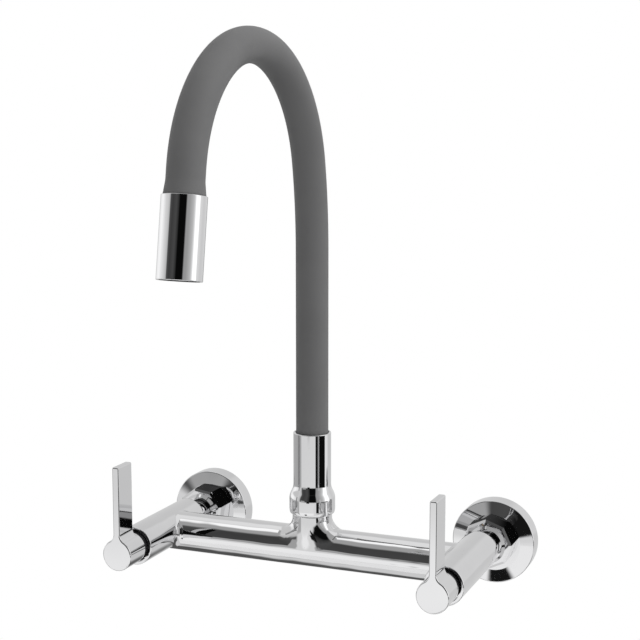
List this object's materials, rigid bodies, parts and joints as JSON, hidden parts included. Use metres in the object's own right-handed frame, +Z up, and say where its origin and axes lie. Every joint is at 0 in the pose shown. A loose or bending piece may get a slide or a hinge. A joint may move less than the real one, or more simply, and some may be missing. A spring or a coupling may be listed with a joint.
{
  "type": "wall-mounted mixer tap",
  "caption": "Wall-mounted kitchen mixer tap in chrome with lever handles, a crossbar body and a flexible grey gooseneck spout ending in a chrome outlet.",
  "frame": {"origin": "on the wall face, midway between the two wall inlets", "axes": "+X right along the bar as the user sees it, +Y into the wall, +Z up"},
  "size_m": [0.2532, 0.2723, 0.3422],
  "materials": {
    "chrome": "polished",
    "brass": "turned",
    "dark_brass": "blackened",
    "silicone": "matt silicone",
    "seal_rubber": "matt",
    "hose_rubber": "matt",
    "steel": "satin",
    "ceramic": "lapped ceramic",
    "black_plastic": "moulded",
    "slip_plastic": "slip washer"
  },
  "bodies": {
    "tap_body": {"body_casting": "chrome", "thrust_washer": "slip_plastic", "spout_screw": "steel", "left_flange": "chrome", "left_wall_connector": "brass", "left_union_nut": "chrome", "left_inlet_washer": "seal_rubber", "left_tail_nipple": "chrome", "left_cartridge_body": "dark_brass", "left_cartridge_o_ring": "seal_rubber", "left_seat_seal": "seal_rubber", "left_fixed_disc": "ceramic", "left_stop_ring": "black_plastic", "right_flange": "chrome", "right_wall_connector": "brass", "right_union_nut": "chrome", "right_inlet_washer": "seal_rubber", "right_tail_nipple": "chrome", "right_cartridge_body": "dark_brass", "right_cartridge_o_ring": "seal_rubber", "right_seat_seal": "seal_rubber", "right_fixed_disc": "ceramic", "right_stop_ring": "black_plastic"},
    "left_lever": {"left_handle": "chrome", "left_grub_screw": "steel", "left_spindle": "brass", "left_spindle_o_ring": "seal_rubber", "left_moving_disc": "ceramic"},
    "right_lever": {"right_handle": "chrome", "right_grub_screw": "steel", "right_spindle": "brass", "right_spindle_o_ring": "seal_rubber", "right_moving_disc": "ceramic"},
    "spout_base": {"spout_tail": "brass", "tail_o_rings": "seal_rubber", "ferrule": "chrome", "lower_hose_fitting": "brass", "sleeve_riser": "silicone", "sleeve_rear_bend": "silicone"},
    "spout_crown": {"sleeve_crown": "silicone", "gooseneck_coil": "steel", "inner_hose": "hose_rubber"},
    "spout_head": {"sleeve_front_bend": "silicone", "sleeve_outlet": "silicone", "upper_hose_fitting": "brass", "spout_bell": "chrome", "aerator_washer": "seal_rubber", "aerator_housing": "black_plastic", "aerator_screen": "steel"}
  },
  "joints": [
    {"name": "left_lever_turn", "type": "hinge", "parent": "tap_body", "child": "left_lever", "pos_m": [-0.1, -0.12, 0.0041], "axis": [0, -1, 0], "range_deg": [0, 90]},
    {"name": "right_lever_turn", "type": "hinge", "parent": "tap_body", "child": "right_lever", "pos_m": [0.1, -0.12, 0.0041], "axis": [0, 1, 0], "range_deg": [0, 90]},
    {"name": "spout_swivel", "type": "hinge", "parent": "tap_body", "child": "spout_base", "pos_m": [0, -0.0694, 0.02457], "axis": [0, 0, 1], "range_deg": [-105, 105]},
    {"name": "rear_bend", "type": "hinge", "parent": "spout_base", "child": "spout_crown", "pos_m": [0, -0.06951, 0.19555], "axis": [1, 0, 0], "range_deg": [-25, 25], "deforming": ["sleeve_rear_bend", "gooseneck_coil", "inner_hose"]},
    {"name": "front_bend", "type": "hinge", "parent": "spout_crown", "child": "spout_head", "pos_m": [0, -0.21272, 0.28017], "axis": [1, 0, 0], "range_deg": [-25, 25], "deforming": ["sleeve_front_bend"]}
  ]
}
